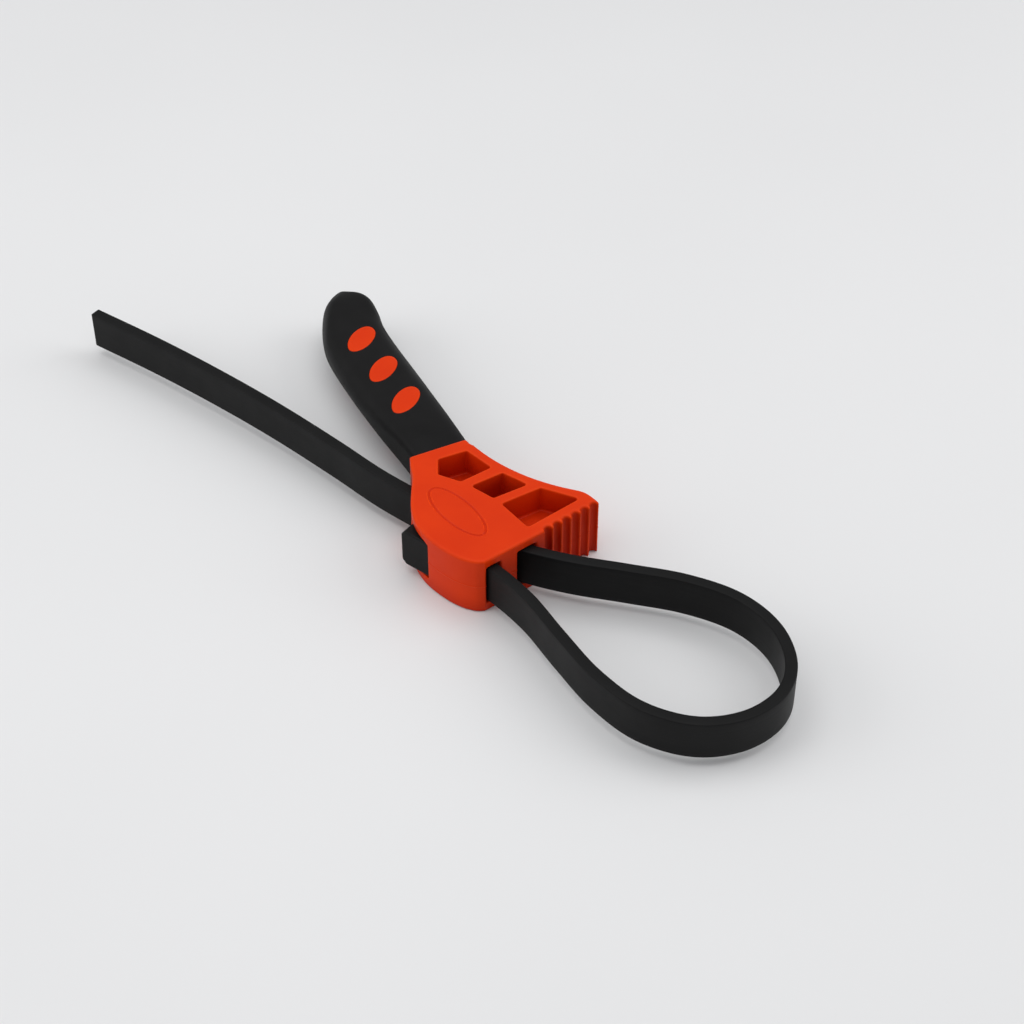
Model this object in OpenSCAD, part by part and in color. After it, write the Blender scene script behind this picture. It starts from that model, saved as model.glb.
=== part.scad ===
// Strap wrench: a moulded head and handle with a rubber strap that loops out of the head's
// front face and comes back through it. Lengths are in millimetres.
// +X runs along the strap from the head into the loop, +Z is up, and the head lies flat on z = 0.
// The origin is on the head's underside, midway between its two strap slots.

/* [Strap] */
// Width of the strap, which stands on edge
strap_w = 22; // [18:0.5:22]
// Thickness of the strap
strap_t = 6; // [4:0.1:6]
// Height of the strap's lower edge above the head's underside
strap_z = 6; // [5:0.5:8]
// Width of the woven ply inside the strap
ply_w = 16; // [10:0.5:17]
// Thickness of the woven ply
ply_t = 1.0; // [0.6:0.1:1.4]
// Length of the thick block at the strap's fixed end
anchor_len = 20; // [14:1:20]
// Thickness of that block
anchor_t = 14; // [10:0.5:14]

/* [Head] */
// Thickness of the head
head_h = 34; // [34:0.5:38]
// Distance from the head's middle line to the centre of each slot
slot_y = 9.2; // [9:0.1:9.4]
// Width of each slot
slot_w = 8.4; // [8:0.1:8.4]
// Height of each slot
slot_h = 23.5; // [23:0.25:24]
// Depth of the pockets in each face
pocket_depth = 15; // [6:0.5:15]
// Depth of the oval line on the upper face
line_depth = 0.5; // [0.3:0.1:1]
// Number of vertical grooves in the front face
groove_count = 6; // [3:1:6]
// Distance from one groove to the next
groove_pitch = 5.8; // [5:0.1:5.8]
// Radius of each groove
groove_r = 2.3; // [1:0.1:2.4]

/* [Handle] */
// Direction of the handle, measured from +X
handle_angle = 154; // [150:1:158]
// Height of the handle's middle plane
handle_z = 21; // [19:0.5:22]
// Half of the grip's greatest thickness
grip_half = 12; // [10:0.5:12.5]
// How far the grip's crowned faces fall at a half width of 18
crown_fall = 6.7; // [4:0.1:7]
// Width of the tang where it leaves the head
tang_w = 24; // [18:1:25]
// Half of the tang's thickness
tang_half = 5.5; // [4:0.5:6]
// Length of the tang inside the grip
tang_len = 136; // [120:1:140]
// Length of the oval windows
window_len = 24; // [18:0.5:24]
// Width of the oval windows
window_w = 13; // [9:0.5:13]

/* [Hidden] */

orange = "#dc4010";
black_grip = "#242223";
black_rubber = "#1f1f20";
ply_grey = "#8c877c";

eps = 0.01;
arc_steps = 6;

// Where the handle's axis leaves the head
handle_x = -53.9;
handle_y = 39.8;

// The front face leans, so that its far end is further forward
front_x = 20.9;
front_lean = 15;
groove_from = 24.3;

// The head's left side and cheek, from the collar round to the front face
cheek = [
    [-57.5, 18.6], [-51.5, 13], [-44.5, 3.6], [-37, -5.6], [-28.5, -12.8],
    [-18, -17.6], [-6, -19.9], [5, -20], [13, -17.8], [17, -14.6]
];
cheek_steps = 4;

// The head's far side is one shallow hollow arc, and the nose at its right end is a low brow
far_left = [-42, 51.4];
far_right = [22, 56.1];
far_sag = 5.2;
far_steps = 12;
nose = [35.6, 54.7];
nose_r = 0.8;
brow = [[32.4, 55.7], [29, 56.4], [25.4, 56.7]];
collar_near = [-61.8, 23.5];
collar_far = [[-45, 50.8], [-48, 52]];
collar_len = 6;
collar_half = 18;
collar_side = 9;
collar_slope = 4.4;

// Pockets, each as its corners
pocket_a = [[-49.5, 31.2], [-42, 45.6], [-23.7, 42.9], [-29.2, 24.7], [-42, 21.9]];
pocket_b = [[-23.3, 25.1], [-16.8, 43.1], [-0.9, 43.8], [-8.4, 24.8]];
pocket_c = [[-2.8, 23.9], [5.5, 45.6], [26.2, 51.1], [18.4, 18.1]];
pocket_r = 1.2;

// The oval line on the upper face
line_centre = [-16.5, 5.8];
line_half = [21.8, 8.3];
line_angle = -15;
line_w = 0.8;

// The strap's middle line, from its fixed end, round the loop and out to its free end
route = [
    [-14.5, -9.2], [3, -9.2], [20, -10], [45, -16], [72, -26.9], [100, -37.1], [128, -41.1],
    [153.3, -33.8], [169.7, -16.7], [175, 5], [168, 24.6], [149.6, 40.2], [125, 46.2], [98, 41.4],
    [71, 30], [45, 18.3], [21, 10.6], [3, 9.2], [-20, 9.2], [-46, 9.2], [-72, 10.1],
    [-105, 13.8], [-150, 17.7], [-195, 19.5], [-240, 19.5], [-286.5, 17.7]
];
// Places along the route, counted in its points, where one stretch ends and the next begins
at_anchor = 0;
at_near_leg = 1.9;
at_loop = 5;
at_far_leg = 13;
at_tail = 16.1;
at_end = len(route) - 1;
strap_steps = 5;
// How far the ply stops short of the strap's ends, counted in the same way
ply_inset = 0.1;

// The seat's inner end and the anchor block's middle line, and how far the slots are cut
seat_x = -14.5;
anchor_y = -10;
anchor_bevel = 2.5;
ways_from = -70;
ways_to = 50;
// The far slot's mouth flares away from the head's middle line
flare_from = 6;
flare_to = 10.5;

// The grip: distance along the handle, then its near and far edges from the handle's axis
grip_edges = [
    [0, 14.5, -16], [18, 15.3, -16.8], [45, 18.1, -18.2], [72, 19.6, -19], [98, 19, -18.5],
    [116, 17.2, -19], [130, 13.2, -22.1], [140, 8.7, -23.2], [148, 3, -20.6],
    [154, -3.4, -16.2], [158.5, -7.8, -11.8]
];
grip_steps = 2;
grip_ring = 10;
// Beyond this distance the grip thins to its rounded end
grip_round_from = 138;
grip_len = 160;
// Radius of the rounding along the grip's edges
grip_edge_r = 1.6;
grip_min_half = 0.6;
// Shape of the crowned faces: flat in the middle, falling faster towards the edges
crown_w = 18;
crown_power = 4;

// The tang runs back into the head by its root, then at an even width, then narrows to its tip
tang_root = 7.5;
tang_even = 60;
tang_tip_r = 7.2;
tang_tip_y = -4;

// Oval windows along the handle
window_at = [45, 74.5, 104];
window_turn = -48;
window_steps = 40;

// A smooth curve through a list of points
function curve_mix(a, b, c, d, f) =
    0.5 * (2 * b + (c - a) * f + (2 * a - 5 * b + 4 * c - d) * f * f
        + (3 * b - a - 3 * c + d) * f * f * f);
function curve_at(p, s) =
    let (i = max(0, min(floor(s), len(p) - 2)))
    curve_mix(p[max(i - 1, 0)], p[i], p[i + 1], p[min(i + 2, len(p) - 1)], s - i);
function curve_heading(p, s) =
    let (d = curve_at(p, min(s + eps, len(p) - 1)) - curve_at(p, max(s - eps, 0)))
    d / norm(d);
function curve(p, steps) =
    [for (i = [0 : (len(p) - 1) * steps]) curve_at(p, i / steps)];

// A hollow arc between two points, with its middle lower by sag
function hollow(a, b, sag, steps) =
    [for (i = [1 : steps - 1]) let (f = i / steps) a + (b - a) * f - [0, 4 * sag * f * (1 - f)]];

// A polygon's corner turned into an arc
function unit(v) = v / norm(v);
function corner(a, p, b, r) =
    let (
        u = unit(a - p), v = unit(b - p), half = acos(u * v) / 2,
        c = p + unit(u + v) * r / sin(half),
        s = p + u * r / tan(half) - c, e = p + v * r / tan(half) - c,
        a0 = atan2(s.y, s.x), turn = (atan2(e.y, e.x) - a0 + 540) % 360 - 180
    )
    [for (i = [0 : arc_steps]) c + r * [cos(a0 + turn * i / arc_steps), sin(a0 + turn * i / arc_steps)]];
function rounded(p, r) =
    let (n = len(p))
    [for (i = [0 : n - 1]) each corner(p[(i + n - 1) % n], p[i], p[(i + 1) % n], r)];

// An ellipse
function oval(half, steps) =
    [for (i = [0 : steps - 1]) [half.x * cos(360 * i / steps), half.y * sin(360 * i / steps)]];

// A strip of even thickness along part of the strap's route
function strip(from, to, thick) =
    let (
        n = max(2, round((to - from) * strap_steps)),
        s = [for (i = [0 : n]) from + (to - from) * i / n],
        side = [for (k = s) let (h = curve_heading(route, k)) [-h.y, h.x] * thick / 2],
        mid = [for (k = s) curve_at(route, k)]
    )
    concat([for (i = [0 : n]) mid[i] + side[i]], [for (i = [n : -1 : 0]) mid[i] - side[i]]);

// The head's outline seen from above
function head_outline() =
    concat(
        [collar_near],
        curve(cheek, cheek_steps),
        corner(cheek[len(cheek) - 1], nose, brow[0], nose_r),
        brow,
        [far_right],
        hollow(far_right, far_left, far_sag, far_steps),
        [far_left],
        collar_far
    );

// Half thickness of the grip at a distance in from its crown line
function crown(across, half) = half - crown_fall * pow(abs(across) / crown_w, crown_power);
function edge_drop(inset) =
    inset >= grip_edge_r ? 0
        : grip_edge_r - sqrt(max(grip_edge_r * grip_edge_r - pow(grip_edge_r - inset, 2), 0));
function grip_half_at(t) =
    t <= grip_round_from ? grip_half
        : grip_half * sqrt(1 - pow((t - grip_round_from) / (grip_len - grip_round_from), 2));
function grip_ring_at(e) =
    let (
        mid = (e.y + e.z) / 2, wide = (e.y - e.z) / 2, half = grip_half_at(e.x),
        across = [for (j = [0 : grip_ring]) wide * cos(180 * j / grip_ring)],
        up = [for (a = across) max(crown(a, half) - edge_drop(wide - abs(a)), grip_min_half)]
    )
    concat(
        [for (j = [0 : grip_ring]) [e.x, mid + across[j], up[j]]],
        [for (j = [grip_ring : -1 : 0]) [e.x, mid + across[j], -up[j]]]
    );

module in_handle() {
    translate([handle_x, handle_y, handle_z]) rotate([0, 0, handle_angle]) children();
}

// The outer shape of the grip, in the handle's own frame
module grip_solid() {
    rings = [for (e = curve(grip_edges, grip_steps)) grip_ring_at(e)];
    n = len(rings[0]);
    last = len(rings) - 1;
    polyhedron(
        points = [for (r = rings) each r],
        faces = concat(
            [[for (j = [0 : n - 1]) j]],
            [for (i = [0 : last - 1], j = [0 : n - 1])
                [i * n + j, (i + 1) * n + j, (i + 1) * n + (j + 1) % n, i * n + (j + 1) % n]],
            [[for (j = [n - 1 : -1 : 0]) last * n + j]]
        ),
        convexity = 4
    );
}

// The tang that the grip is moulded over, in the handle's own frame
module tang_solid() {
    tip = [tang_len - tang_tip_r, tang_tip_y];
    translate([0, 0, -tang_half]) linear_extrude(2 * tang_half) {
        polygon([[-tang_root, -tang_w / 2], [tang_even, -tang_w / 2], tip - [0, tang_tip_r],
            tip + [0, tang_tip_r], [tang_even, tang_w / 2], [-tang_root, tang_w / 2]]);
        translate(tip) circle(r = tang_tip_r, $fn = 32);
    }
}

// The three oval columns, in the handle's own frame
module window_columns(half) {
    for (t = window_at)
        translate([t, 0, -half]) rotate([0, 0, window_turn])
            linear_extrude(2 * half) polygon(oval([window_len, window_w] / 2, window_steps));
}

// The head's end at the handle, a collar with its far edges sloped
module collar() {
    rise = head_h - handle_z;
    shoulder = collar_half - collar_slope;
    rotate([90, 0, -90]) linear_extrude(collar_len)
        polygon([[-collar_half, -handle_z], [shoulder, -handle_z],
            [collar_half, collar_side - handle_z], [collar_half, rise - collar_side],
            [shoulder, rise], [-collar_half, rise]]);
}

module pocket_pair() {
    for (z = [-eps, head_h - pocket_depth])
        for (p = [pocket_a, pocket_b, pocket_c])
            translate([0, 0, z]) linear_extrude(pocket_depth + eps) polygon(rounded(p, pocket_r));
}

// The slots that guide the strap, and the seat for its thick end
module strap_ways() {
    way_z = strap_z + (strap_w - slot_h) / 2;
    seat_w = anchor_t + 1;
    translate([ways_from, slot_y - slot_w / 2, way_z]) cube([ways_to - ways_from, slot_w, slot_h]);
    translate([0, slot_y, way_z]) linear_extrude(slot_h)
        polygon([[flare_from, 0], [ways_to, 0], [ways_to, flare_to], [flare_from, slot_w / 2]]);
    translate([seat_x - 1, -slot_y - slot_w / 2, way_z])
        cube([ways_to - seat_x, slot_w, slot_h]);
    translate([ways_from, anchor_y - seat_w / 2, way_z]) cube([seat_x - ways_from, seat_w, slot_h]);
}

module front_grooves() {
    for (i = [0 : groove_count - 1])
        translate([front_x, 0, -1]) rotate([0, 0, -front_lean])
            translate([0, groove_from + i * groove_pitch, 0])
                cylinder(r = groove_r, h = head_h + 2, $fn = 32);
}

module oval_line() {
    translate([line_centre.x, line_centre.y, head_h - line_depth]) rotate([0, 0, line_angle])
        linear_extrude(line_depth + 1) difference() {
            polygon(oval(line_half, 60));
            polygon(oval(line_half - [line_w, line_w], 60));
        }
}

module head_frame() {
    color(orange) union() {
        difference() {
            union() {
                linear_extrude(head_h) polygon(head_outline());
                in_handle() collar();
            }
            pocket_pair();
            strap_ways();
            front_grooves();
            oval_line();
        }
        in_handle() tang_solid();
        in_handle() intersection() {
            window_columns(grip_half + 1);
            grip_solid();
        }
    }
}

module handle_grip() {
    color(black_grip) in_handle() difference() {
        grip_solid();
        tang_solid();
        window_columns(grip_half + 1);
    }
}

// A stretch of rubber strap, hollow where the ply runs through it
module strap_stretch(from, to, ply_from, ply_to) {
    difference() {
        translate([0, 0, strap_z]) linear_extrude(strap_w) polygon(strip(from, to, strap_t));
        ply_stretch(ply_from, ply_to);
    }
}

module ply_stretch(from, to) {
    translate([0, 0, strap_z + (strap_w - ply_w) / 2]) linear_extrude(ply_w)
        polygon(strip(from, to, ply_t));
}

// The thick end block, its outer end bevelled
module anchor_block() {
    x0 = seat_x - anchor_len;
    top = strap_z + strap_w;
    translate([0, anchor_y + anchor_t / 2, 0]) rotate([90, 0, 0]) linear_extrude(anchor_t)
        polygon([[x0, strap_z + anchor_bevel], [x0 + anchor_bevel, strap_z], [seat_x, strap_z],
            [seat_x, top], [x0 + anchor_bevel, top], [x0, top - anchor_bevel]]);
}

module strap_anchor() {
    color(black_rubber) union() {
        anchor_block();
        strap_stretch(at_anchor, at_near_leg, at_anchor + ply_inset, at_near_leg);
    }
}

module strap_near_leg() {
    color(black_rubber) strap_stretch(at_near_leg, at_loop, at_near_leg, at_loop);
}

module strap_loop() {
    color(black_rubber) strap_stretch(at_loop, at_far_leg, at_loop, at_far_leg);
}

module strap_far_leg() {
    color(black_rubber) strap_stretch(at_far_leg, at_tail, at_far_leg, at_tail);
}

module strap_tail() {
    color(black_rubber) strap_stretch(at_tail, at_end, at_tail, at_end - ply_inset);
}

module ply_anchor() {
    color(ply_grey) ply_stretch(at_anchor + ply_inset, at_near_leg);
}

module ply_near_leg() {
    color(ply_grey) ply_stretch(at_near_leg, at_loop);
}

module ply_loop() {
    color(ply_grey) ply_stretch(at_loop, at_far_leg);
}

module ply_far_leg() {
    color(ply_grey) ply_stretch(at_far_leg, at_tail);
}

module ply_tail() {
    color(ply_grey) ply_stretch(at_tail, at_end - ply_inset);
}

head_frame();
handle_grip();
strap_anchor();
strap_near_leg();
strap_loop();
strap_far_leg();
strap_tail();
ply_anchor();
ply_near_leg();
ply_loop();
ply_far_leg();
ply_tail();
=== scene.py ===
import math

import bmesh
import bpy
import numpy as np
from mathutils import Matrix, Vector


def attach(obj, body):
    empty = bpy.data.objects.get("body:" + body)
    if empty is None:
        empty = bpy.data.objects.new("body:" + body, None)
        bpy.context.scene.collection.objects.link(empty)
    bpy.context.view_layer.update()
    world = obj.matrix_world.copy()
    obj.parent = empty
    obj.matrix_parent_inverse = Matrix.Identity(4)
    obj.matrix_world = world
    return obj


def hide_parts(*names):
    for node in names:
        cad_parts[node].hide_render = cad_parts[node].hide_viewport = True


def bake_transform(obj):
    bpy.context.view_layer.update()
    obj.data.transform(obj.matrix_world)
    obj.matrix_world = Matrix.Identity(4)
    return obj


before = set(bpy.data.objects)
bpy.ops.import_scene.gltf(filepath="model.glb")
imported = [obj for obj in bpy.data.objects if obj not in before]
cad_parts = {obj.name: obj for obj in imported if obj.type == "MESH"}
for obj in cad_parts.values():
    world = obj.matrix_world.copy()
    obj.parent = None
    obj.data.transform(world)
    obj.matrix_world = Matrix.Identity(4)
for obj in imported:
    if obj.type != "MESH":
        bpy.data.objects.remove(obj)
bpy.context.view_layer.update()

# All shapes are worked out in millimetres in the row frame, and become metres as meshes are made.
MM = 0.001
HEAD_H = 34.0
SLOT_Y = 9.2
SLOT_HALF = np.array([4.2, 11.75])
SLOT_Z = 17.0
FLARE_FROM, FLARE_RISE = 6.0, 0.145
STRAP_T = 6.0
STRAP_Z = (6.0, 28.0)
ANCHOR_X, ANCHOR_LEN = -14.5, 20.0
ANCHOR_Y, ANCHOR_HALF, ANCHOR_BEVEL = -10.0, 7.0, 2.5
SEAT_HALF, SEAT_OVERLAP = 7.5, 1.0
HANDLE_AT = np.array([-53.9, 39.8, 21.0])
HANDLE_ANGLE = math.radians(154)
ALONG = np.array([math.cos(HANDLE_ANGLE), math.sin(HANDLE_ANGLE)])
ACROSS = np.array([-ALONG[1], ALONG[0]])
GRIP_HALF = 12.0
CROWN_FALL, CROWN_W, CROWN_POWER = 6.7, 18.0, 4
GRIP_LEN = 160.0
GRIP_ROUND_FROM = 138.0
WINDOWS = (45.0, 74.5, 104.0)
WINDOW_HALF = np.array([12.0, 6.5])
WINDOW_TURN = math.radians(-48)


# ---------------------------------------------------------------- curves

def spline(points, steps):
    """A smooth curve through the points, with that many steps from one to the next."""
    p = np.array(points, float)
    q = np.vstack([p[:1], p, p[-1:]])
    out = []
    for i in range(len(p) - 1):
        a, b, c, d = q[i:i + 4]
        for f in np.arange(steps) / steps:
            out.append(0.5 * (2 * b + (c - a) * f + (2 * a - 5 * b + 4 * c - d) * f ** 2
                              + (3 * b - a - 3 * c + d) * f ** 3))
    out.append(p[-1])
    return np.array(out)


def even(points, gap):
    """The same curve with its points about gap apart."""
    step = np.linalg.norm(np.diff(points, axis=0), axis=1)
    s = np.concatenate([[0], np.cumsum(step)])
    n = max(2, int(round(s[-1] / gap)) + 1)
    at = np.linspace(0, s[-1], n)
    return np.stack([np.interp(at, s, points[:, k]) for k in range(points.shape[1])], axis=1)


def smoothstep(x, a, b):
    """0 up to a, 1 from b, and eased between them."""
    t = np.clip((x - a) / (b - a), 0, 1)
    return t * t * (3 - 2 * t)


# ---------------------------------------------------------------- distance fields

class Outline:
    """Signed distance to a closed outline, negative inside, kept on a fine grid."""

    def __init__(self, points, gap=0.25, margin=6.0):
        poly = np.array(points, float)
        self.low = poly.min(0) - margin
        self.gap = gap
        size = np.ceil((poly.max(0) + margin - self.low) / gap).astype(int) + 1
        xs = self.low[0] + gap * np.arange(size[0])
        ys = self.low[1] + gap * np.arange(size[1])
        x, y = np.meshgrid(xs, ys, indexing="ij")
        best = np.full(x.shape, 1e9)
        inside = np.zeros(x.shape, bool)
        for (ax, ay), (bx, by) in zip(poly, np.roll(poly, -1, axis=0)):
            ex, ey = bx - ax, by - ay
            t = np.clip(((x - ax) * ex + (y - ay) * ey) / max(ex * ex + ey * ey, 1e-12), 0, 1)
            best = np.minimum(best, (x - ax - t * ex) ** 2 + (y - ay - t * ey) ** 2)
            if ay != by:
                inside ^= ((ay <= y) != (by <= y)) & (x < ex * (y - ay) / ey + ax)
        self.grid = np.sqrt(best) * np.where(inside, -1, 1)

    def __call__(self, x, y):
        u = np.clip((x - self.low[0]) / self.gap, 0, self.grid.shape[0] - 1.001)
        v = np.clip((y - self.low[1]) / self.gap, 0, self.grid.shape[1] - 1.001)
        i, j = u.astype(int), v.astype(int)
        f, g = u - i, v - j
        d = self.grid
        return ((d[i, j] * (1 - f) + d[i + 1, j] * f) * (1 - g)
                + (d[i, j + 1] * (1 - f) + d[i + 1, j + 1] * f) * g)


def both(a, b, r):
    """Inside both, with the edge rounded to radius r."""
    return np.minimum(np.maximum(a, b), -r) + np.hypot(np.maximum(a + r, 0), np.maximum(b + r, 0))


def either(a, b, r):
    """Inside either, with the inner corner filled to radius r."""
    return np.maximum(np.minimum(a, b), r) - np.hypot(np.maximum(r - a, 0), np.maximum(r - b, 0))


def block(x, y, half_x, half_y, r):
    """Inside a rectangle round the origin, with corners rounded to radius r."""
    return both(np.abs(x) - half_x, np.abs(y) - half_y, r)


def tilt(x, y, centre, angle):
    """The same places counted from the centre, along axes turned by the angle."""
    c, s = math.cos(angle), math.sin(angle)
    return c * (x - centre[0]) + s * (y - centre[1]), -s * (x - centre[0]) + c * (y - centre[1])


def oval(u, v, half):
    """Distance to an ellipse with those half axes, close to exact near its line."""
    k = np.hypot(u / half[0], v / half[1])
    return (k - 1) * k / np.maximum(np.hypot(u / half[0] ** 2, v / half[1] ** 2), 1e-6)


CORNERS = np.array([(i, j, k) for i in (0, 1) for j in (0, 1) for k in (0, 1)])
CELL_EDGES = [(a, b) for a in range(8) for b in range(a + 1, 8)
              if np.abs(CORNERS[a] - CORNERS[b]).sum() == 1]


def gradient(field, p, h=0.06):
    """Slope of the field at each point."""
    out = np.zeros_like(p)
    for k in range(3):
        e = np.zeros(3)
        e[k] = h
        out[:, k] = (field(p + e) - field(p - e)) / (2 * h)
    return out


def settle(field, points, reach):
    """Moves points near the surface onto it, by at most reach along each axis in each of three rounds."""
    for _ in range(3):
        g = gradient(field, points)
        move = field(points)[:, None] * g / np.maximum((g * g).sum(1), 0.2)[:, None]
        points = points - np.clip(move, -reach, reach)
    return points


def skin(field, low, high, step):
    """Points and quads of the surface where the field is zero, from a grid of that step."""
    low, high = np.array(low, float), np.array(high, float)
    n = np.ceil((high - low) / step).astype(int) + 1
    axes = [low[k] + step * np.arange(n[k]) for k in range(3)]
    values = np.empty(n)
    yz = np.stack(np.meshgrid(axes[1], axes[2], indexing="ij"), -1).reshape(-1, 2)
    for i, x in enumerate(axes[0]):
        values[i] = field(np.column_stack([np.full(len(yz), x), yz])).reshape(n[1], n[2])
    inside = values < 0
    count = sum(inside[i:n[0] - 1 + i, j:n[1] - 1 + j, k:n[2] - 1 + k].astype(int)
                for i, j, k in CORNERS)
    cells = np.argwhere((count > 0) & (count < 8))
    total, hits = np.zeros((len(cells), 3)), np.zeros(len(cells))
    for a, b in CELL_EDGES:
        va = values[tuple((cells + CORNERS[a]).T)]
        vb = values[tuple((cells + CORNERS[b]).T)]
        cut = (va < 0) != (vb < 0)
        f = np.where(cut, va / np.where(cut, va - vb, 1), 0)
        total += np.where(cut[:, None], CORNERS[a] + f[:, None] * (CORNERS[b] - CORNERS[a]), 0)
        hits += cut
    points = settle(field, low + step * (cells + total / hits[:, None]), 0.4 * step)
    index = np.full(n, -1)
    index[tuple(cells.T)] = np.arange(len(cells))
    quads = []
    for k in range(3):
        u, v = (k + 1) % 3, (k + 2) % 3
        e = np.eye(3, dtype=int)
        top = n - 1
        here = tuple(slice(1, -1) for _ in range(3))
        ahead = tuple(slice(2, None) if m == k else slice(1, -1) for m in range(3))
        core = np.argwhere(inside[here] != inside[ahead]) + 1
        core = core[(core < top).all(1)]
        ring = [index[tuple((core - o).T)] for o in (e[u] + e[v], e[v], 0 * e[u], e[u])]
        face = np.stack(ring, 1)
        face[~inside[tuple(core.T)]] = face[~inside[tuple(core.T)]][:, ::-1]
        quads.append(face)
    quads = np.vstack(quads)
    return points, quads[(quads >= 0).all(1)]


# ---------------------------------------------------------------- meshes

def make_mesh(name, points, faces):
    """A smooth-shaded object from points in millimetres and faces with equally many corners."""
    mesh = bpy.data.meshes.new(name)
    faces = np.asarray(faces)
    mesh.vertices.add(len(points))
    mesh.vertices.foreach_set("co", (np.asarray(points, float) * MM).astype(np.float32).ravel())
    width = faces.shape[1]
    mesh.loops.add(faces.size)
    mesh.loops.foreach_set("vertex_index", faces.astype(np.int32).ravel())
    mesh.polygons.add(len(faces))
    mesh.polygons.foreach_set("loop_start", np.arange(0, faces.size, width, dtype=np.int32))
    mesh.polygons.foreach_set("loop_total", np.full(len(faces), width, dtype=np.int32))
    mesh.polygons.foreach_set("use_smooth", np.full(len(faces), True))
    mesh.update(calc_edges=True)
    mesh.validate()
    obj = bpy.data.objects.new(name, mesh)
    bpy.context.collection.objects.link(obj)
    return obj


def tube_faces(rings, around):
    """Quads of a closed tube, each end closed by a strip of quads across it."""
    i, j = np.meshgrid(np.arange(rings - 1), np.arange(around), indexing="ij")
    i, j = i.ravel(), j.ravel()
    k = (j + 1) % around
    walls = np.stack([i * around + j, i * around + k, (i + 1) * around + k, (i + 1) * around + j], 1)
    half = around // 2
    a = np.arange(half - 1)
    cap = np.stack([a, around - 1 - a, around - 2 - a, a + 1], 1)
    last = (rings - 1) * around
    return np.vstack([walls, cap, last + cap[:, ::-1]])


def reshape(obj, points):
    """Moves the mesh's points to those places, in millimetres."""
    obj.data.vertices.foreach_set("co", (points * MM).astype(np.float32).ravel())
    for polygon in obj.data.polygons:
        polygon.use_smooth = True
    obj.data.update()


def places(obj):
    """The mesh's points in millimetres."""
    return np.array([v.co for v in obj.data.vertices]) / MM


def join(first, *others):
    """Adds the other objects' meshes to the first, as further islands."""
    bpy.ops.object.select_all(action="DESELECT")
    for o in (first,) + others:
        o.select_set(True)
    bpy.context.view_layer.objects.active = first
    bpy.ops.object.join()
    return first


# ---------------------------------------------------------------- the head

# The head's outline runs from the heel along the cheek, round the nose and back along the far edge.
HEEL = [(-61.8, 23.5)]
CHEEK = [(-57.5, 18.6), (-51.5, 13), (-44.5, 3.6), (-37, -5.6), (-28.5, -12.8),
         (-18, -17.6), (-6, -19.9), (5, -20), (13, -17.8), (17, -14.6)]
NOSE, NOSE_R = np.array([35.6, 54.7]), 0.8
BROW = [(32.4, 55.7), (29, 56.4), (25.4, 56.7), (22, 56.1)]
FAR_LEFT, FAR_RIGHT, FAR_SAG = np.array([-42, 51.4]), np.array([22, 56.1]), 5.2
SHOULDER = [(-45, 50.8), (-48, 52)]
FRONT_LEAN = math.radians(15)
FRONT_X = 20.9
GROOVES, GROOVE_FROM, GROOVE_PITCH, GROOVE_R = 6, 24.3, 5.8, 2.3
POCKETS = [
    [(-49.5, 31.2), (-42, 45.6), (-23.7, 42.9), (-29.2, 24.7), (-42, 21.9)],
    [(-23.3, 25.1), (-16.8, 43.1), (-0.9, 43.8), (-8.4, 24.8)],
    [(-2.8, 23.9), (5.5, 45.6), (26.2, 51.1), (18.4, 18.1)],
]
POCKET_DEPTH = 15.0
POCKET_R = 1.5
POCKET_DRAFT = math.tan(math.radians(1.5))
POCKET_GROWTH = 0.2
POCKET_INSET = 1.2
EDGE_TOP, EDGE_BOTTOM = 1.4, 1.2
# The collar round the grip's end; the slope of its far edges starts at COLLAR_FLAT from the handle's axis.
COLLAR_HALF_LEN, COLLAR_HALF_W, COLLAR_R, COLLAR_FLAT = 3.4, 18.0, 1.6, 13.6
LINE_CENTRE, LINE_HALF, LINE_TURN = (-16.5, 5.8), np.array([21.4, 7.9]), math.radians(-15)
LINE_REACH, LINE_DEPTH = 0.6, 0.55
PARTING_RISE, PARTING_REACH = 0.16, 0.28


def corner(a, p, b, r, steps=6):
    """An arc of radius r in place of the corner p between a and b."""
    u, v = (a - p) / np.linalg.norm(a - p), (b - p) / np.linalg.norm(b - p)
    half = math.acos(u @ v) / 2
    centre = p + (u + v) / np.linalg.norm(u + v) * r / math.sin(half)
    start, end = p + u * r / math.tan(half) - centre, p + v * r / math.tan(half) - centre
    f = np.linspace(0, 1, steps + 1)[:, None]
    ray = start * (1 - f) + end * f
    return centre + r * ray / np.linalg.norm(ray, axis=1)[:, None]


def head_outline():
    f = np.linspace(0, 1, 25)[:, None]
    far = FAR_RIGHT + (FAR_LEFT - FAR_RIGHT) * f - np.array([0, 4 * FAR_SAG]) * f * (1 - f)
    nose = corner(np.array(CHEEK[-1]), NOSE, np.array(BROW[0]), NOSE_R)
    return np.vstack([HEEL, spline(CHEEK, 8), nose, spline(BROW, 4)[:-1], far, SHOULDER])


def rounded(points, r):
    """The closed outline with every corner rounded to radius r."""
    p = np.array(points)
    before, after = np.roll(p, 1, axis=0), np.roll(p, -1, axis=0)
    return np.vstack([corner(a, q, b, r) for a, q, b in zip(before, p, after)])


head_2d = Outline(head_outline())
pocket_2d = [Outline(rounded(p, POCKET_R)) for p in POCKETS]


def handle_frame(p):
    """Distances along the handle and across it."""
    d = p[:, :2] - HANDLE_AT[:2]
    return d @ ALONG, d @ ACROSS


def row_frame(t, s, z):
    """The row frame's places for distances along the handle, across it and above it."""
    xy = HANDLE_AT[:2] + np.outer(t, ALONG) + np.outer(s, ACROSS)
    return np.column_stack([xy, np.asarray(z) + HANDLE_AT[2]])


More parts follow.
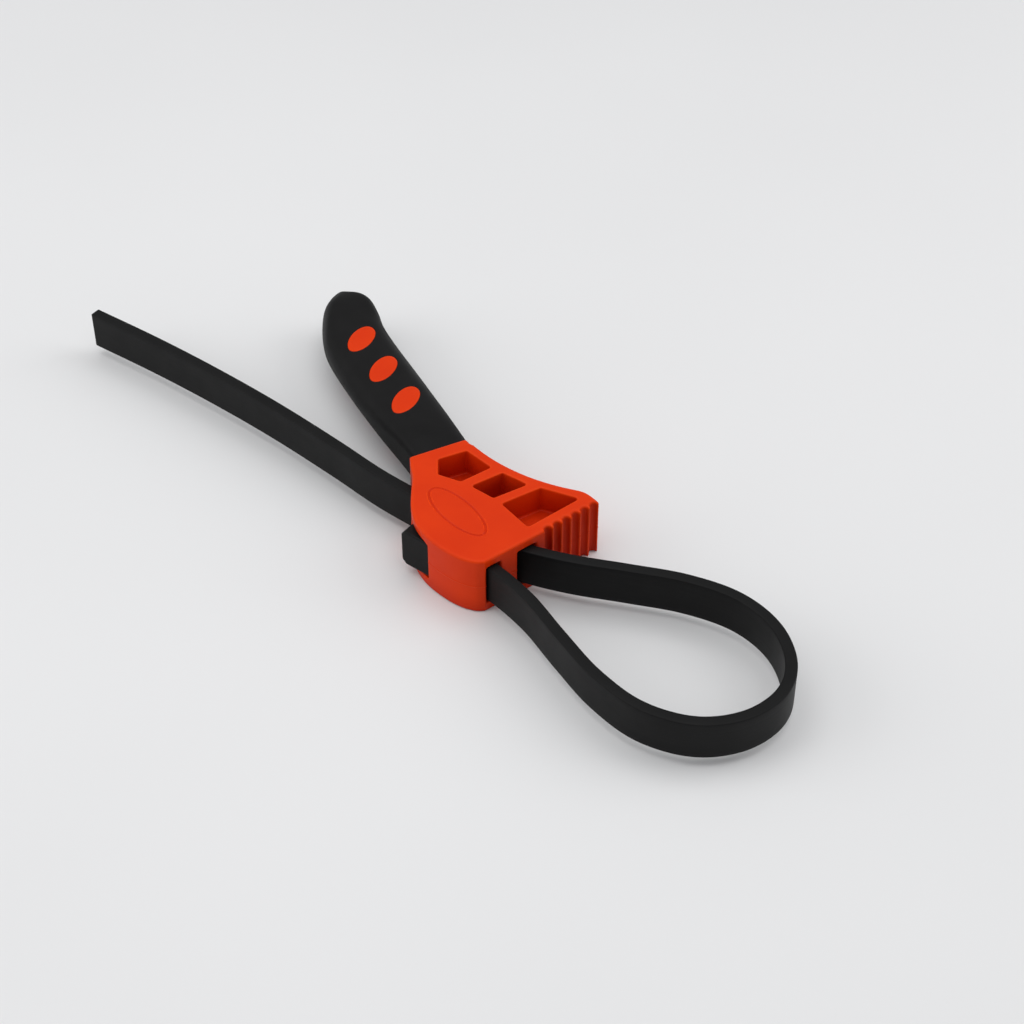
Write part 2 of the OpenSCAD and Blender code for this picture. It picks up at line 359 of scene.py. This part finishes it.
def grooves(x, y):
    """Distance to the nearest of the round grooves in the leaning front face."""
    c, s = math.cos(FRONT_LEAN), math.sin(FRONT_LEAN)
    u = c * (x - FRONT_X) - s * y
    v = s * (x - FRONT_X) + c * y
    near = np.clip(np.round((v - GROOVE_FROM) / GROOVE_PITCH), 0, GROOVES - 1)
    return np.hypot(u, v - GROOVE_FROM - GROOVE_PITCH * near) - GROOVE_R


def head_field(p):
    """The head's body with its collar, less its pockets, strap slots and seat."""
    x, y, z = p.T
    ribs = both(head_2d(x, y), -grooves(x, y), 0.3)
    slab = np.abs(z - HEAD_H / 2) - HEAD_H / 2
    # collar round the grip's end, its far edges sloped: their normal is about (0.9, 0.44) across and up
    t, s = handle_frame(p)
    far_slope = 0.9 * (-s - COLLAR_FLAT) + 0.44 * slab
    collar = both(np.abs(t + COLLAR_HALF_LEN) - COLLAR_HALF_LEN, np.abs(s) - COLLAR_HALF_W, COLLAR_R)
    collar = both(collar, np.maximum(far_slope, -6), COLLAR_R)
    body = both(either(ribs, collar, 1.2), slab, np.where(z > HEAD_H / 2, EDGE_TOP, EDGE_BOTTOM))
    # pockets in both faces, with drafted walls that are POCKET_GROWTH outside the outline 2 mm down
    deep = np.minimum(HEAD_H - z, z)
    wall = np.minimum.reduce([q(x, y) for q in pocket_2d]) + POCKET_DRAFT * (deep - 2) - POCKET_GROWTH
    pocket = both(wall, deep - POCKET_DEPTH, 1.4) + POCKET_INSET
    # steeper outwards, which draws the walls in by 0.35 mm and makes the rim's rounding tighter
    pocket = np.where(pocket > 0, math.sqrt(2) * pocket, pocket) - POCKET_INSET
    body = both(body, -pocket, 0.6)
    # strap slots and the anchor's seat
    dz = z - SLOT_Z
    flare = np.maximum(x - FLARE_FROM, 0) * FLARE_RISE
    far_way = block(y - SLOT_Y - flare / 2, dz, SLOT_HALF[0] + flare / 2, SLOT_HALF[1], 0.9)
    near_way = both(block(y + SLOT_Y, dz, SLOT_HALF[0], SLOT_HALF[1], 0.9), ANCHOR_X - SEAT_OVERLAP - x, 0.3)
    seat = both(block(y - ANCHOR_Y, dz, SEAT_HALF, SLOT_HALF[1], 0.9), x - ANCHOR_X, 0.3)
    ways = np.minimum(far_way, np.minimum(near_way, seat))
    return both(body, -ways, 0.9)


def engraving(points):
    """Distance from the oval line on the upper face, and how far it sinks the face, at each point."""
    x, y, z = points.T
    off = oval(*tilt(x, y, LINE_CENTRE, LINE_TURN), LINE_HALF)
    sink = np.exp(-(off / LINE_REACH) ** 4) * (z > HEAD_H - 0.4) * LINE_DEPTH
    return off, sink


def refine(obj, near, cuts):
    """Splits the edges of the faces whose centres the test picks."""
    bm = bmesh.new()
    bm.from_mesh(obj.data)
    centres = np.array([f.calc_center_median() for f in bm.faces]) / MM
    pick = near(centres)
    edges = {e for f, hit in zip(bm.faces, pick) if hit for e in f.edges}
    bmesh.ops.subdivide_edges(bm, edges=list(edges), cuts=cuts, use_grid_fill=True)
    bm.to_mesh(obj.data)
    bm.free()


def parting(points):
    """How far the mould's parting line stands out of the outer walls at each point."""
    outer = smoothstep(head_2d(points[:, 0], points[:, 1]), -0.5, -0.1)
    return PARTING_RISE * outer * np.exp(-((points[:, 2] - HEAD_H / 2) / PARTING_REACH) ** 2)


def make_head():
    step = 0.5
    points, faces = skin(head_field, (-66, -23, -2), (38, 62, 36), step)
    head = make_mesh("head_moulding", points, faces)
    refine(head, lambda c: (np.abs(engraving(c)[0]) < 1.1) & (c[:, 2] > HEAD_H - 0.3), 3)
    refine(head, lambda c: (np.abs(c[:, 2] - HEAD_H / 2) < 0.9) & (head_2d(*c[:, :2].T) > -0.6), 2)
    co = places(head)
    normal = np.array([v.normal for v in head.data.vertices])
    co += normal * parting(co)[:, None]
    co[:, 2] -= engraving(co)[1]
    reshape(head, co)
    return head


# ---------------------------------------------------------------- the grip and its windows

GRIP_START = -2.5
# Distance along the handle, then the grip's near and far edges from the handle's axis
GRIP_EDGES = [
    (0, 14.5, -16), (18, 15.3, -16.8), (45, 18.1, -18.2), (72, 19.6, -19), (98, 19, -18.5),
    (116, 17.2, -19), (130, 13.4, -22.4), (140, 9.3, -23.5), (148, 4.8, -21.1),
    (154, -0.1, -17.0), (157.6, -4.2, -13.6), (159.2, -6.7, -11.5), (159.8, -8.4, -9.8),
]
grip_edges = spline(GRIP_EDGES, 6)


def grip_outline():
    """The grip seen from above, starting a little inside the collar."""
    near = grip_edges[:, [0, 1]]
    far = grip_edges[::-1][:, [0, 2]]
    return np.vstack([[(GRIP_START, near[0, 1])], near, far, [(GRIP_START, far[-1, 1])]])


grip_2d = Outline(grip_outline())


def crown_line(t):
    """The grip's middle between its two edges."""
    return np.interp(t, grip_edges[:, 0], (grip_edges[:, 1] + grip_edges[:, 2]) / 2)


def half_thickness(t):
    """Half the grip's thickness, which thins to its rounded end but not quite to nothing."""
    k = np.clip((t - GRIP_ROUND_FROM) / (GRIP_LEN - GRIP_ROUND_FROM), 0, 0.985)
    return GRIP_HALF * np.sqrt(1 - k * k)


def crown(t, s):
    """Height of the grip's face above the handle's middle plane."""
    return half_thickness(t) - CROWN_FALL * (np.abs(s - crown_line(t)) / CROWN_W) ** CROWN_POWER


def in_window(t, s):
    """Distance outside the nearest oval window."""
    best = np.full(np.shape(t), 1e9)
    for at in WINDOWS:
        best = np.minimum(best, oval(*tilt(t, s, (at, 0), WINDOW_TURN), WINDOW_HALF))
    return best


TANG_HALF = 5.5
# Outline of the tang, as distances along the handle and across it
TANG = [(-7.5, -12), (60, -12), (128.8, -11.2), (133.5, -9.3), (136, -4), (133.5, 1.3), (128.8, 3.2),
        (60, 12), (-7.5, 12)]
tang_2d = Outline(TANG, gap=0.5)


def tang_field(p):
    """The tang, in distances along the handle, across it and above it."""
    return both(tang_2d(p[:, 0], p[:, 1]), np.abs(p[:, 2]) - TANG_HALF, 1.0)


GRIP_EDGE_R, GRIP_EDGE_GROWTH = 1.7, 7.5
GROWTH_FROM, GROWTH_TO = 112, 152


def grip_field(p):
    """The soft cover, hollow round the tang and open at its oval windows."""
    t, s, z = p.T
    flat = grip_2d(t, s)
    off = np.abs(s - crown_line(t))
    steep = CROWN_FALL * CROWN_POWER / CROWN_W * (off / CROWN_W) ** (CROWN_POWER - 1)
    ending = GRIP_HALF / (GRIP_LEN - GRIP_ROUND_FROM) * 2 * smoothstep(t, GRIP_ROUND_FROM, GRIP_LEN)
    face = (np.abs(z) - crown(t, s)) / np.sqrt(1 + steep ** 2 + ending ** 2)
    # the rounding of the long edges grows towards the end, up to nearly half the thickness
    soft = GRIP_EDGE_R + GRIP_EDGE_GROWTH * smoothstep(t, GROWTH_FROM, GROWTH_TO)
    soft = np.minimum(soft, 0.92 * half_thickness(t))
    hollow = np.minimum(tang_field(p), in_window(t, s))
    return both(both(flat, face, soft), -hollow, 0.2)


def make_grip():
    step = 0.7
    points, faces = skin(grip_field, (-5, -26, -14), (164, 23, 14), step)
    grip = make_mesh("grip_cover", points, faces)
    refine(grip, lambda c: (np.abs(in_window(c[:, 0], c[:, 1]) + 0.4) < 1.5) & (np.abs(c[:, 2]) > 8), 3)
    reshape(grip, row_frame(*settle(grip_field, places(grip), 0.15).T))
    return grip


# From a boss's middle to its side: share of the window's size, and height from the boss's crown
BOSS_PROFILE = [(0.0, 0.0), (0.25, 0.0), (0.5, 0.0), (0.72, 0.0), (0.86, 0.0), (0.92, -0.02), (0.96, -0.1),
                (0.985, -0.28), (0.992, -0.6), (0.992, -2.4)]
BOSS_RISE = 0.05


def window_boss(at):
    """One oval column of the head's moulding, rounded where it shows in the grip's two faces."""
    around = 72
    a = 2 * np.pi * np.arange(around) / around
    c, s = math.cos(WINDOW_TURN), math.sin(WINDOW_TURN)
    rings = []
    for side in (1, -1):
        part = []
        for share, drop in BOSS_PROFILE:
            u, v = WINDOW_HALF[0] * share * np.cos(a), WINDOW_HALF[1] * share * np.sin(a)
            t, w = at + c * u - s * v, s * u + c * v
            part.append(np.column_stack([t, w, side * (crown(t, w) + BOSS_RISE + drop)]))
        rings += part if side > 0 else part[::-1]
    points = np.vstack([rings[0][:1]] + rings[1:-1] + [rings[-1][:1]])
    count = len(rings) - 2
    i, j = np.meshgrid(np.arange(count - 1), np.arange(around), indexing="ij")
    i, j = i.ravel(), j.ravel()
    k = (j + 1) % around
    walls = np.stack([i * around + j, (i + 1) * around + j, (i + 1) * around + k, i * around + k], 1) + 1
    j = np.arange(around)
    k = (j + 1) % around
    top = np.stack([np.zeros_like(j), 1 + j, 1 + k], 1)
    last = 1 + (count - 1) * around
    bottom = np.stack([np.full_like(j, last + around), last + k, last + j], 1)
    return row_frame(*points.T), [face.tolist() for part in (walls, top, bottom) for face in part]


def make_bosses():
    bosses = []
    for n, at in enumerate(WINDOWS):
        points, faces = window_boss(at)
        mesh = bpy.data.meshes.new(f"boss_{n}")
        mesh.from_pydata([tuple(q) for q in points * MM], [], faces)
        for polygon in mesh.polygons:
            polygon.use_smooth = True
        obj = bpy.data.objects.new(f"boss_{n}", mesh)
        bpy.context.collection.objects.link(obj)
        bosses.append(obj)
    return bosses


def make_tang():
    """The flat bar that carries the oval columns, inside the grip."""
    points, faces = skin(tang_field, (-10, -16, -8), (140, 16, 8), 1.0)
    return make_mesh("tang", row_frame(*points.T), faces)


# ---------------------------------------------------------------- the strap

ROUTE = [
    (-14.5, -9.2), (3, -9.2), (20, -10), (45, -16), (72, -26.9), (100, -37.1), (128, -41.1),
    (153.3, -33.8), (169.7, -16.7), (175, 5), (168, 24.6), (149.6, 40.2), (125, 46.2), (98, 41.4),
    (71, 30), (45, 18.3), (21, 10.6), (3, 9.2), (-20, 9.2), (-46, 9.2), (-72, 10.1),
    (-105, 13.8), (-150, 17.7), (-195, 19.5), (-240, 19.5), (-286.5, 17.7),
]
ROUTE_STEPS = 40
route = spline(ROUTE, ROUTE_STEPS)


def stretch(first, last, gap=1.5):
    """Points of the strap's middle line between two places, counted in the route's points."""
    return even(route[int(round(first * ROUTE_STEPS)):int(round(last * ROUTE_STEPS)) + 1], gap)


def rounded_section(half_t, low, high, r, arc=4, side=10):
    """Outline of the strap's section, as offsets across it and heights."""
    mid, half_w = (low + high) / 2, (high - low) / 2
    corners = [(1, 1, 0), (-1, 1, 90), (-1, -1, 180), (1, -1, 270)]
    out = []
    for sx, sz, a0 in corners:
        for k in range(arc + 1):
            a = math.radians(a0 + 90 * k / arc)
            out.append((sx * (half_t - r) + r * math.cos(a), mid + sz * (half_w - r) + r * math.sin(a)))
        # the two flat sides have points between their corners as well
        if a0 in (90, 270):
            ends = (half_w - r) * (1 if a0 == 90 else -1)
            for k in range(1, side):
                out.append((sx * half_t, mid + ends * (1 - 2 * k / side)))
    return np.array(out)


def ribbon(name, line, section, shape=None):
    """A closed strap along a line seen from above; shape may change the section from ring to ring."""
    d = np.gradient(line, axis=0)
    d /= np.linalg.norm(d, axis=1)[:, None]
    side = np.column_stack([-d[:, 1], d[:, 0]])
    points = []
    for i, (c, n) in enumerate(zip(line, side)):
        sec = section if shape is None else shape(i, section)
        points.append(np.column_stack([c + sec[:, :1] * n, sec[:, 1]]))
    return make_mesh(name, np.vstack(points), tube_faces(len(line), len(section)))


STRAP_R = 0.6
SECTION = rounded_section(STRAP_T / 2, STRAP_Z[0], STRAP_Z[1], STRAP_R)
PLY_HALF_T, PLY_Z, PLY_R = 0.5, (9.0, 25.0), 0.3
PLY_SECTION = rounded_section(PLY_HALF_T, PLY_Z[0], PLY_Z[1], PLY_R, arc=2, side=6)


def end_taper(count, rounding):
    """The first and last few rings draw in, so that a cut end has a softened edge."""
    def shape(i, section):
        k = min(i, count - 1 - i)
        if k >= len(rounding):
            return section
        mid = np.array([0, (STRAP_Z[0] + STRAP_Z[1]) / 2])
        inset = rounding[k]
        off = section - mid
        return mid + np.sign(off) * np.maximum(np.abs(off) - inset, 0)
    return shape


# The rings at a cut end: how far each lies from the end, and how far its section draws in
END_GAPS = (0.0, 0.12, 0.35, 0.7)
END_ROUNDING = (0.7, 0.35, 0.12, 0.0)


def with_end_rings(line):
    """The line with close-set points at both ends, for the rings of its cut ends."""
    head_dir = (line[1] - line[0]) / np.linalg.norm(line[1] - line[0])
    tail_dir = (line[-2] - line[-1]) / np.linalg.norm(line[-2] - line[-1])
    start = [line[0] + head_dir * g for g in END_GAPS]
    end = [line[-1] + tail_dir * g for g in END_GAPS][::-1]
    return np.vstack([start, line[1:-1], end])


def make_strap(name, first, last):
    """One band of the strap between two places, counted in the route's points."""
    line = with_end_rings(stretch(first, last))
    return ribbon(name, line, SECTION, end_taper(len(line), END_ROUNDING))


# The strap's first stretch, moulded with the end block
LEG_X, LEG_HALF_LEN = -6.0, 9.0


def anchor_field(p):
    """The block that ends the strap, bevelled at its back, with the strap's first stretch."""
    x, y, z = p.T
    mid = (STRAP_Z[0] + STRAP_Z[1]) / 2
    half_w = (STRAP_Z[1] - STRAP_Z[0]) / 2
    long = np.abs(x - (ANCHOR_X - ANCHOR_LEN / 2)) - ANCHOR_LEN / 2
    tall = np.abs(z - mid) - half_w
    bevel = (ANCHOR_X - ANCHOR_LEN - x + np.abs(z - mid) - half_w + ANCHOR_BEVEL) * math.sqrt(0.5)
    body = both(both(long, bevel, 0.5), np.abs(y - ANCHOR_Y) - ANCHOR_HALF, 0.9)
    leg = block(x - LEG_X, y + SLOT_Y, LEG_HALF_LEN, STRAP_T / 2, 0.5)
    return both(either(body, leg, 1.5), tall, 0.7)


def make_anchor():
    points, faces = skin(anchor_field, (-37, -19, 5), (5, -1, 29), 0.6)
    return make_mesh("strap_end_block", points, faces)


# ---------------------------------------------------------------- materials

class Nodes:
    """Short calls to build one material's node tree."""

    def __init__(self, name):
        self.material = bpy.data.materials.new(name)
        self.material.use_nodes = True
        self.tree = self.material.node_tree
        self.shader = self.tree.nodes["Principled BSDF"]
        self.place = self.add("ShaderNodeTexCoord").outputs["Object"]

    def add(self, kind, **values):
        node = self.tree.nodes.new(kind)
        for key, value in values.items():
            setattr(node, key, value)
        return node

    def link(self, source, target):
        self.tree.links.new(source, target)

    def noise(self, scale, detail=3.0, rough=0.5, stretch=None):
        """A noise pattern over the piece; stretch scales it along each axis."""
        node = self.add("ShaderNodeTexNoise")
        node.inputs["Scale"].default_value = scale
        node.inputs["Detail"].default_value = detail
        node.inputs["Roughness"].default_value = rough
        if stretch is None:
            self.link(self.place, node.inputs["Vector"])
        else:
            mapping = self.add("ShaderNodeMapping")
            mapping.inputs["Scale"].default_value = stretch
            self.link(self.place, mapping.inputs["Vector"])
            self.link(mapping.outputs["Vector"], node.inputs["Vector"])
        return node.outputs["Fac"]

    def ramp(self, source, stops):
        """Colours taken from the stops by the source's value."""
        node = self.add("ShaderNodeValToRGB")
        elements = node.color_ramp.elements
        while len(elements) < len(stops):
            elements.new(0.5)
        for element, (at, colour) in zip(elements, stops):
            element.position = at
            element.color = (*colour, 1)
        self.link(source, node.inputs["Fac"])
        return node.outputs["Color"]

    def mix(self, kind, factor, a, b):
        """Blends b onto a; each is a socket or a colour, and the factor a socket or a number."""
        node = self.add("ShaderNodeMix", data_type="RGBA", blend_type=kind)
        for socket, value in ((node.inputs[0], factor), (node.inputs[6], a), (node.inputs[7], b)):
            if isinstance(value, (int, float)):
                socket.default_value = value
            elif isinstance(value, tuple):
                socket.default_value = (*value, 1)
            else:
                self.link(value, socket)
        return node.outputs[2]

    def spread(self, source, low, high):
        """The source's range of 0 to 1 moved to the range from low to high."""
        node = self.add("ShaderNodeMapRange")
        node.inputs["To Min"].default_value = low
        node.inputs["To Max"].default_value = high
        self.link(source, node.inputs["Value"])
        return node.outputs["Result"]

    def bump(self, height, strength, distance, under=None):
        node = self.add("ShaderNodeBump")
        node.inputs["Strength"].default_value = strength
        node.inputs["Distance"].default_value = distance
        self.link(height, node.inputs["Height"])
        if under is not None:
            self.link(under, node.inputs["Normal"])
        return node.outputs["Normal"]

    def open_sky(self, reach):
        """How open each place is within that reach, 1 where nothing is near."""
        node = self.add("ShaderNodeAmbientOcclusion", samples=8)
        node.inputs["Distance"].default_value = reach
        return node.outputs["AO"]

    def edges(self):
        """How sharply each place stands out, about 0.5 where it is flat."""
        return self.add("ShaderNodeNewGeometry").outputs["Pointiness"]


def orange_material():
    m = Nodes("orange_nylon")
    patch = m.noise(38, 4)
    base = m.ramp(patch, [(0.3, (0.66, 0.031, 0.0010)), (0.7, (0.72, 0.039, 0.0014))])
    flow = m.noise(14, 2, stretch=(1.0, 4.0, 0.6))
    base = m.mix("MIX", m.spread(flow, 0.0, 0.22), base, (0.76, 0.050, 0.003))
    # painted highlight on sharp outer edges and painted shade in inner corners and creases
    edge_light_crease_shade = m.ramp(m.edges(), [(0.42, (0.0, 0.0, 0.0)), (0.5, (0.5, 0.5, 0.5)), (0.58, (1.0, 1.0, 1.0))])
    base = m.mix("SOFT_LIGHT", 0.55, base, edge_light_crease_shade)
    # painted shade: the orange darkens in pockets, grooves, slots and close to other parts, where less light
    # reaches
    hollow = m.ramp(m.open_sky(0.016), [(0.25, (0.60, 0.34, 0.22)), (0.85, (1.0, 1.0, 1.0))])
    base = m.mix("MULTIPLY", 1.0, base, hollow)
    m.link(base, m.shader.inputs["Base Color"])
    rough = m.spread(m.noise(120, 4), 0.36, 0.52)
    m.link(rough, m.shader.inputs["Roughness"])
    fine = m.bump(m.noise(2600, 2), 0.16, 0.00012)
    wave = m.bump(m.noise(60, 2), 0.10, 0.0006, fine)
    m.link(wave, m.shader.inputs["Normal"])
    m.shader.inputs["Specular IOR Level"].default_value = 0.11
    m.shader.inputs["Subsurface Weight"].default_value = 0.04
    m.shader.inputs["Subsurface Radius"].default_value = (0.0012, 0.0004, 0.0002)
    return m.material


def grip_material():
    m = Nodes("grip_rubber")
    patch = m.noise(55, 4)
    base = m.ramp(patch, [(0.3, (0.0042, 0.0040, 0.0041)), (0.7, (0.0070, 0.0066, 0.0068))])
    dust = m.ramp(m.noise(900, 2, 0.7), [(0.68, (0.0, 0.0, 0.0)), (0.8, (1.0, 1.0, 1.0))])
    base = m.mix("ADD", 0.006, base, dust)
    # painted highlight: sharp outer edges of the grip are lightened
    painted_edge_highlight = m.ramp(m.edges(), [(0.5, (0.0, 0.0, 0.0)), (0.6, (1.0, 1.0, 1.0))])
    base = m.mix("ADD", 0.008, base, painted_edge_highlight)
    m.link(base, m.shader.inputs["Base Color"])
    m.link(m.spread(m.noise(90, 4), 0.50, 0.64), m.shader.inputs["Roughness"])
    fine = m.bump(m.noise(1900, 3), 0.30, 0.00018)
    wave = m.bump(m.noise(45, 2), 0.08, 0.0008, fine)
    m.link(wave, m.shader.inputs["Normal"])
    m.shader.inputs["Specular IOR Level"].default_value = 0.15
    return m.material


def strap_material():
    m = Nodes("strap_rubber")
    patch = m.noise(40, 4)
    base = m.ramp(patch, [(0.3, (0.0024, 0.0024, 0.0025)), (0.7, (0.0044, 0.0044, 0.0045))])
    streak = m.noise(30, 3, stretch=(0.25, 0.25, 14.0))
    base = m.mix("ADD", m.spread(streak, 0.0, 0.002), base, (1.0, 1.0, 1.0))
    dust = m.ramp(m.noise(700, 2, 0.7), [(0.70, (0.0, 0.0, 0.0)), (0.80, (1.0, 1.0, 1.0))])
    base = m.mix("ADD", 0.008, base, dust)
    # painted highlight: sharp outer edges of the strap are lightened
    painted_edge_highlight = m.ramp(m.edges(), [(0.5, (0.0, 0.0, 0.0)), (0.6, (1.0, 1.0, 1.0))])
    base = m.mix("ADD", 0.004, base, painted_edge_highlight)
    m.link(base, m.shader.inputs["Base Color"])
    m.link(m.spread(m.noise(70, 4), 0.44, 0.60), m.shader.inputs["Roughness"])
    fine = m.bump(m.noise(1500, 3), 0.22, 0.00015)
    lines = m.bump(m.noise(60, 2, stretch=(0.2, 0.2, 10.0)), 0.12, 0.0003, fine)
    m.link(lines, m.shader.inputs["Normal"])
    m.shader.inputs["Specular IOR Level"].default_value = 0.15
    return m.material


def ply_material():
    m = Nodes("woven_ply")
    warp = m.add("ShaderNodeTexWave", wave_type="BANDS", bands_direction="Z")
    weft = m.add("ShaderNodeTexWave", wave_type="BANDS", bands_direction="X")
    for node in (warp, weft):
        node.inputs["Scale"].default_value = 600
        node.inputs["Distortion"].default_value = 0.6
        m.link(m.place, node.inputs["Vector"])
    weave = m.mix("MULTIPLY", 1.0, warp.outputs["Color"], weft.outputs["Color"])
    base = m.ramp(weave, [(0.0, (0.16, 0.15, 0.13)), (1.0, (0.34, 0.32, 0.27))])
    m.link(base, m.shader.inputs["Base Color"])
    m.link(m.spread(m.noise(200, 3), 0.75, 0.95), m.shader.inputs["Roughness"])
    m.link(m.bump(weave, 0.4, 0.0002), m.shader.inputs["Normal"])
    return m.material


def floor_material():
    m = Nodes("pale_floor")
    base = m.ramp(m.noise(2.5, 2), [(0.3, (0.775, 0.775, 0.778)), (0.7, (0.800, 0.800, 0.803))])
    m.link(base, m.shader.inputs["Base Color"])
    m.shader.inputs["Roughness"].default_value = 0.85
    m.shader.inputs["Specular IOR Level"].default_value = 0.15
    return m.material


# ---------------------------------------------------------------- building the pieces

def finish_piece(obj, material):
    """Turns every face outwards, and gives the piece its material."""
    bm = bmesh.new()
    bm.from_mesh(obj.data)
    bmesh.ops.recalc_face_normals(bm, faces=bm.faces)
    bm.to_mesh(obj.data)
    bm.free()
    obj.data.materials.clear()
    obj.data.materials.append(material)


orange, soft, rubber, woven = orange_material(), grip_material(), strap_material(), ply_material()

head = join(make_head(), make_tang(), *make_bosses())
finish_piece(head, orange)
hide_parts("head_frame")
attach(head, "head")

grip = make_grip()
finish_piece(grip, soft)
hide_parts("handle_grip")
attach(grip, "head")

anchor = make_anchor()
finish_piece(anchor, rubber)
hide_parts("strap_anchor")
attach(anchor, "head")

# Where the bands start and end, and how far the ply stops short of them, in the route's points
LOOP_FROM, LOOP_TO, TAIL_TO = 0.8, 16.6, 25
PLY_SHORT, PLY_GAP = 0.1, 0.05
# Gap between the ply's rings, in millimetres
PLY_STEP = 2.0

loop = make_strap("strap_loop_band", LOOP_FROM, LOOP_TO)
finish_piece(loop, rubber)
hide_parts("strap_near_leg", "strap_loop", "strap_far_leg")
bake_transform(loop)

tail = make_strap("strap_tail_band", LOOP_TO, TAIL_TO)
finish_piece(tail, rubber)
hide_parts("strap_tail")
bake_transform(tail)

core_end = ribbon("ply_end", stretch(PLY_SHORT, LOOP_FROM, PLY_STEP), PLY_SECTION)
finish_piece(core_end, woven)
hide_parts("ply_anchor")
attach(core_end, "head")

core_loop = ribbon("ply_loop_band", stretch(LOOP_FROM + PLY_GAP, LOOP_TO - PLY_GAP, PLY_STEP), PLY_SECTION)
finish_piece(core_loop, woven)
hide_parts("ply_near_leg", "ply_loop", "ply_far_leg")
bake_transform(core_loop)

core_tail = ribbon("ply_tail_band", stretch(LOOP_TO + PLY_GAP, TAIL_TO - PLY_SHORT, PLY_STEP), PLY_SECTION)
finish_piece(core_tail, woven)
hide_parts("ply_tail")
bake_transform(core_tail)


# ---------------------------------------------------------------- floor, lights and camera

def make_floor():
    """A square floor, 8 m wide, in 32 by 32 cells."""
    size, cells = 8.0 / MM, 32
    g = np.linspace(-size / 2, size / 2, cells + 1)
    x, y = np.meshgrid(g, g, indexing="ij")
    points = np.column_stack([x.ravel(), y.ravel(), np.zeros(x.size)])
    i, j = np.meshgrid(np.arange(cells), np.arange(cells), indexing="ij")
    a = (i * (cells + 1) + j).ravel()
    faces = np.stack([a, a + cells + 1, a + cells + 2, a + 1], 1)
    floor = make_mesh("floor", points, faces)
    floor.data.materials.append(floor_material())


def add_light(name, where, aim, size, power):
    data = bpy.data.lights.new(name, "AREA")
    data.shape = "RECTANGLE"
    data.size, data.size_y = size
    data.energy = power
    light = bpy.data.objects.new(name, data)
    light.location = where
    light.rotation_euler = (Vector(aim) - Vector(where)).to_track_quat("-Z", "Y").to_euler()
    bpy.context.collection.objects.link(light)


make_floor()
MIDDLE = (-0.03, 0.03, 0.0)
add_light("overhead", (-0.1, 0.0, 1.7), MIDDLE, (2.0, 2.0), 16.8)
add_light("back_right", (1.1, 1.2, 1.1), MIDDLE, (1.3, 1.3), 9.2)
add_light("left_fill", (-1.3, -1.1, 0.9), MIDDLE, (1.5, 1.0), 9.0)

world = bpy.data.worlds.new("studio")
bpy.context.scene.world = world
world.use_nodes = True
world.node_tree.nodes["Background"].inputs["Color"].default_value = (0.97, 0.98, 1.0, 1)
world.node_tree.nodes["Background"].inputs["Strength"].default_value = 0.41

camera_data = bpy.data.cameras.new("camera")
camera_data.sensor_width = 36
camera_data.lens = 75.47
camera = bpy.data.objects.new("camera", camera_data)
camera.location = Vector((490.3, -607.4, 749.4)) * MM
looking_at = Vector((-17.6, 52.0, 0.0)) * MM
camera.rotation_euler = (looking_at - camera.location).to_track_quat("-Z", "Y").to_euler()
bpy.context.collection.objects.link(camera)
bpy.context.scene.camera = camera
bpy.context.scene.view_settings.view_transform = "Standard"
bpy.context.scene.view_settings.look = "None"
